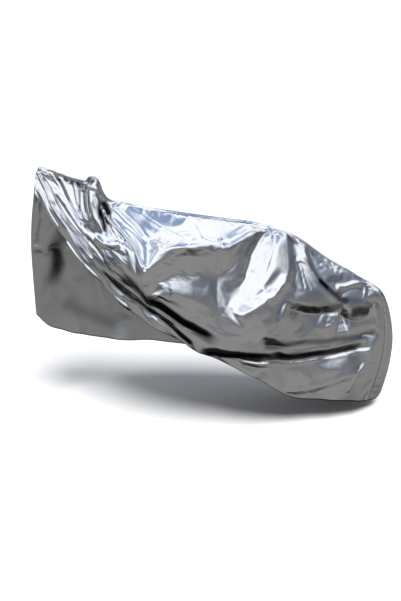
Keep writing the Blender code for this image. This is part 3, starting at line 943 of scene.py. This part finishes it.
def film(name, color, roughness, crinkle_scale, crinkle_height, painted_shade_name):
    """Aluminised film: a metal skin on plastic sheet, a little duller where rubbed, darkened by painted
    shade.
    """
    material = bpy.data.materials.new(name)
    material.use_nodes = True
    nodes, links = material.node_tree.nodes, material.node_tree.links
    shader = nodes["Principled BSDF"]
    shader.inputs["Metallic"].default_value = 1.0
    # Painted shade: the attribute darkens the base colour towards the painted shade colour.
    painted_shade = nodes.new("ShaderNodeAttribute")
    painted_shade.attribute_name = painted_shade_name
    shade = nodes.new("ShaderNodeMix")
    shade.data_type = "RGBA"
    shade.inputs[6].default_value = (*color, 1)
    shade.inputs[7].default_value = (*PAINTED_SHADE_DARK, 1)
    links.new(painted_shade.outputs["Fac"], shade.inputs["Factor"])
    links.new(shade.outputs[2], shader.inputs["Base Color"])
    place = nodes.new("ShaderNodeTexCoord")
    creases = nodes.new("ShaderNodeGroup")
    creases.node_tree = crinkle
    creases.inputs["Scale"].default_value = crinkle_scale
    relief = nodes.new("ShaderNodeBump")
    relief.inputs["Strength"].default_value = 1.0
    relief.inputs["Distance"].default_value = crinkle_height
    gloss = nodes.new("ShaderNodeMapRange")
    gloss.inputs["From Min"].default_value = RUB_FROM
    gloss.inputs["From Max"].default_value = RUB_TO
    gloss.inputs["To Min"].default_value = roughness - RUB_GLOSSIER
    gloss.inputs["To Max"].default_value = roughness + RUB_DULLER
    links.new(place.outputs["Object"], creases.inputs["Vector"])
    links.new(creases.outputs["Height"], relief.inputs["Height"])
    links.new(relief.outputs["Normal"], shader.inputs["Normal"])
    links.new(creases.outputs["Rubbed"], gloss.inputs["Value"])
    links.new(gloss.outputs[0], shader.inputs["Roughness"])
    return material


silver = film("silver_film", (0.84, 0.85, 0.87), 0.16, 9, 0.0009, "painted_shade")
inner_silver = film("silver_film_inside", (0.68, 0.69, 0.70), 0.34, 9, 0.0010, "inner_painted_shade")


def crumple(panel, along, down, slack):
    """Let a panel buckle a little as cloth with some film to spare, its weld held in place."""
    mesh = panel.data
    start = np.array([vert.co for vert in mesh.vertices])
    normals = np.array([vert.normal for vert in mesh.vertices])
    uneven = np.array([noise.fractal(Vector(place * UNEVEN_WAVES), *UNEVEN_FRACTAL) for place in start])
    mesh.vertices.foreach_set("co", (start + normals * (uneven * UNEVEN)[:, None]).ravel())
    mesh.update()
    held = panel.vertex_groups.new(name="held")
    taut = panel.vertex_groups.new(name="taut")
    for place, (welded, share) in enumerate(zip((down < EDGE_NEAR) | (along > 1 - EDGE_NEAR), slack)):
        held.add([place], 1.0 if welded else SHAPE_HOLD, "REPLACE")
        taut.add([place], 1 - float(share), "REPLACE")
    cloth = panel.modifiers.new("film", "CLOTH")
    cloth.settings.quality = 6
    cloth.settings.mass = 0.1
    cloth.settings.tension_stiffness = 60
    cloth.settings.compression_stiffness = 60
    cloth.settings.shear_stiffness = 30
    cloth.settings.bending_stiffness = 2.5
    cloth.settings.vertex_group_mass = "held"
    cloth.settings.vertex_group_shrink = "taut"
    cloth.settings.shrink_min = -SPARE_FILM
    cloth.settings.shrink_max = 0
    cloth.settings.effector_weights.gravity = 0
    cloth.collision_settings.use_collision = False
    cloth.point_cache.frame_end = CRUMPLE_FRAMES
    for step in range(1, CRUMPLE_FRAMES + 1):
        bpy.context.scene.frame_set(step)
    settled = panel.evaluated_get(bpy.context.evaluated_depsgraph_get()).to_mesh()
    move = np.array([vert.co for vert in settled.vertices]) - start
    panel.modifiers.remove(cloth)
    bpy.context.scene.frame_set(1)
    furthest = FURTHEST * np.minimum(1, slack / FREE_SLACK)
    move *= np.minimum(1, furthest / np.maximum(np.linalg.norm(move, axis=1), TINY))[:, None]
    mesh.vertices.foreach_set("co", (start + move).ravel())
    mesh.update()


def make_panel(name, ribs, folds, painted_shades, rows, grid, side, slack_spots):
    """One side panel as a draped sheet of film, with its welded edges turned out."""
    bm = bmesh.new()
    bmesh.ops.create_grid(bm, x_segments=grid[0], y_segments=grid[1], size=1)
    bm.verts.ensure_lookup_table()
    flat = np.array([vert.co for vert in bm.verts])
    along = np.round((flat[:, 0] + 1) / 2 * grid[0]) / grid[0]
    down = rows(along, np.round((1 - flat[:, 1]) / 2 * grid[1]) / grid[1])
    for vert, place in zip(bm.verts, draped_panel(ribs, folds, along, down, side)):
        vert.co = place
    # The depth of each painted shade place is the share by which the colour is darkened, so it is read
    # back without the millimetres. The near panel shows its painted shade outside and the far one
    # inside.
    points = plain_panel(ribs, along, down)
    shade_share = sum(fold_height(points, along, down, ribs, painted_shade) for painted_shade in painted_shades.values()) / MM
    painted_shade_layer = bm.verts.layers.float.new("painted_shade" if side < 0 else "inner_painted_shade")
    for vert, share in zip(bm.verts, np.clip(shade_share, 0, 1)):
        vert[painted_shade_layer] = share
    cut = bm.loops.layers.uv.new("cut")
    for face in bm.faces:
        for loop in face.loops:
            k = loop.vert.index
            loop[cut].uv = along[k] * FLAT_LENGTH, (1 - down[k]) * FLAT_HEIGHT
    if side > 0:
        bmesh.ops.reverse_faces(bm, faces=bm.faces)
    mesh = bpy.data.meshes.new(name)
    bm.to_mesh(mesh)
    mesh.materials.append(silver)
    mesh.materials.append(inner_silver)
    panel = bpy.data.objects.new(name, mesh)
    bpy.context.scene.collection.objects.link(panel)
    slack = np.full(len(along), EVERYWHERE_SLACK)
    for spot_along, spot_down, wide, high, share in slack_spots.values():
        reach = ((along - spot_along) / wide) ** 2 + ((down - spot_down) / high) ** 2
        slack += (share - EVERYWHERE_SLACK) * np.exp(-reach)
    crumple(panel, along, down, np.clip(slack, 0, 1))
    bm.clear()
    bm.from_mesh(mesh)
    bm.verts.ensure_lookup_table()
    top = sorted((v for v in bm.verts if down[v.index] == 0), key=lambda v: along[v.index])
    back = sorted((v for v in bm.verts if along[v.index] == 1), key=lambda v: down[v.index])
    chain = top + back[1:]
    places = [vert.index for vert in chain]
    out = weld_directions(along[places], down[places])[0]
    edges = [bm.edges.get(pair) for pair in zip(chain[:-1], chain[1:])]
    bmesh.ops.extrude_edge_only(bm, edges=edges)
    for vert, direction in zip(chain, out):
        tip = next(edge.other_vert(vert) for edge in vert.link_edges if edge.calc_length() < NO_LENGTH)
        tip.co = np.array(vert.co) + FLANGE * direction
    bm.to_mesh(mesh)
    bm.free()
    mesh.shade_smooth()
    wall = panel.modifiers.new("wall", "SOLIDIFY")
    wall.thickness = FILM
    wall.offset = -1
    wall.material_offset = 1
    return panel


LEFT_GRID = (280, 160)
left_side = make_panel(
    "left_side", LEFT_RIBS, LEFT_FOLDS, LEFT_PAINTED_SHADES, gathered_rows, LEFT_GRID, -1, LEFT_SLACK
)
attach(left_side, "root")
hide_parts("left_panel")

# ---- Right panel -----------------------------------------------------------------------------------
# The far side, cut as the near one's mirror image. It hangs straight from the handlebar in broad
# pleats, shows its duller inner face below the near side's hem, and wraps round the rear wheel.
RIGHT_FOLDS = {
    "grip_pleat": (
        (0.13, 0.08), (0.14, 0.30), (0.15, 0.50), (0.16, 0.70), (0.17, 0.90),
        30, 30, 16, 120, 240, 2,
    ),
    "stem_pleat": (
        (0.20, 0.10), (0.22, 0.30), (0.25, 0.50), (0.28, 0.70), (0.30, 0.90),
        30, 30, -16, 120, 260, 2,
    ),
    "bar_swag": (
        (0.24, 0.14), (0.30, 0.34), (0.37, 0.50), (0.45, 0.62), (0.54, 0.68),
        40, 24, -22, 120, 120, 2,
    ),
    "saddle_pleat": (
        (0.62, 0.06), (0.60, 0.22), (0.57, 0.36), (0.54, 0.46), (0.51, 0.53),
        34, 34, 15, 80, 120, 2,
    ),
    "seat_trough": (
        (0.68, 0.04), (0.71, 0.20), (0.75, 0.33), (0.80, 0.42), (0.85, 0.46),
        26, 20, -20, 80, 100, 2,
    ),
    "wheel_tuck": (
        (0.58, 0.86), (0.66, 0.80), (0.75, 0.73), (0.84, 0.67), (0.92, 0.62),
        46, 34, -20, 140, 110, 2,
    ),
    "leaf_edge": (
        (0.042, 0.370), (0.041, 0.470), (0.038, 0.570), (0.033, 0.670), (0.028, 0.770),
        32, 32, -11, 120, 120, 2,
    ),
    "leaf_back": (
        (0.066, 0.395), (0.078, 0.498), (0.078, 0.603), (0.059, 0.700), (0.034, 0.792),
        32, 32, 8, 120, 120, 2,
    ),
    "front_crease_1": (
        (0.002, 0.440), (0.007, 0.445), (0.012, 0.451), (0.016, 0.459), (0.020, 0.468),
        5, 28, -4, 8, 8, 1,
    ),
    "front_crease_2": (
        (0.008, 0.492), (0.017, 0.504), (0.025, 0.518), (0.032, 0.535), (0.038, 0.552),
        6, 30, -6, 8, 8, 1,
    ),
    "strip_pleat_1": (
        (0.016, 0.225), (0.015, 0.277), (0.014, 0.330), (0.013, 0.382), (0.012, 0.435),
        8, 8, -6, 15, 10, 1,
    ),
    "strip_pleat_2": (
        (0.028, 0.330), (0.026, 0.367), (0.023, 0.404), (0.019, 0.441), (0.016, 0.478),
        8, 8, 5, 15, 10, 1,
    ),
    "corner_curl": (
        (0.000, 0.968), (0.008, 0.915), (0.018, 0.864), (0.030, 0.815), (0.044, 0.768),
        30, 30, -4, 60, 60, 2,
    ),
    "front_ripple": (
        (0.012, 0.542), (0.015, 0.621), (0.016, 0.699), (0.015, 0.777), (0.012, 0.855),
        12, 12, -4, 50, 50, 1,
    ),
    "hem_ripple_1": (
        (0.178, 0.878), (0.246, 0.878), (0.314, 0.892), (0.381, 0.915), (0.448, 0.938),
        50, 36, 3, 110, 110, 2,
    ),
    "hem_ripple_2": (
        (0.060, 0.932), (0.121, 0.932), (0.182, 0.936), (0.243, 0.943), (0.304, 0.953),
        26, 20, -2, 90, 90, 2,
    ),
}
# Painted shade on the far panel's inner face, darkening its colour where it lies in shade below the
# near panel.
RIGHT_PAINTED_SHADES = {
    "inner_back": (
        (0.050, 0.448), (0.053, 0.513), (0.054, 0.578), (0.049, 0.643), (0.041, 0.707),
        (0.033, 0.770),
        26, 34, 0.85, 100, 110, 2.5,
    ),
    "inner_low": (
        (0.050, 0.830), (0.094, 0.861), (0.139, 0.884), (0.184, 0.903), (0.230, 0.920),
        40, 30, 0.35, 40, 40, 2,
    ),
}
RIGHT_GRID = (200, 100)
right_side = make_panel(
    "right_side", RIGHT_RIBS, RIGHT_FOLDS, RIGHT_PAINTED_SHADES, even_rows, RIGHT_GRID, 1, RIGHT_SLACK
)
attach(right_side, "root")
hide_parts("right_panel")
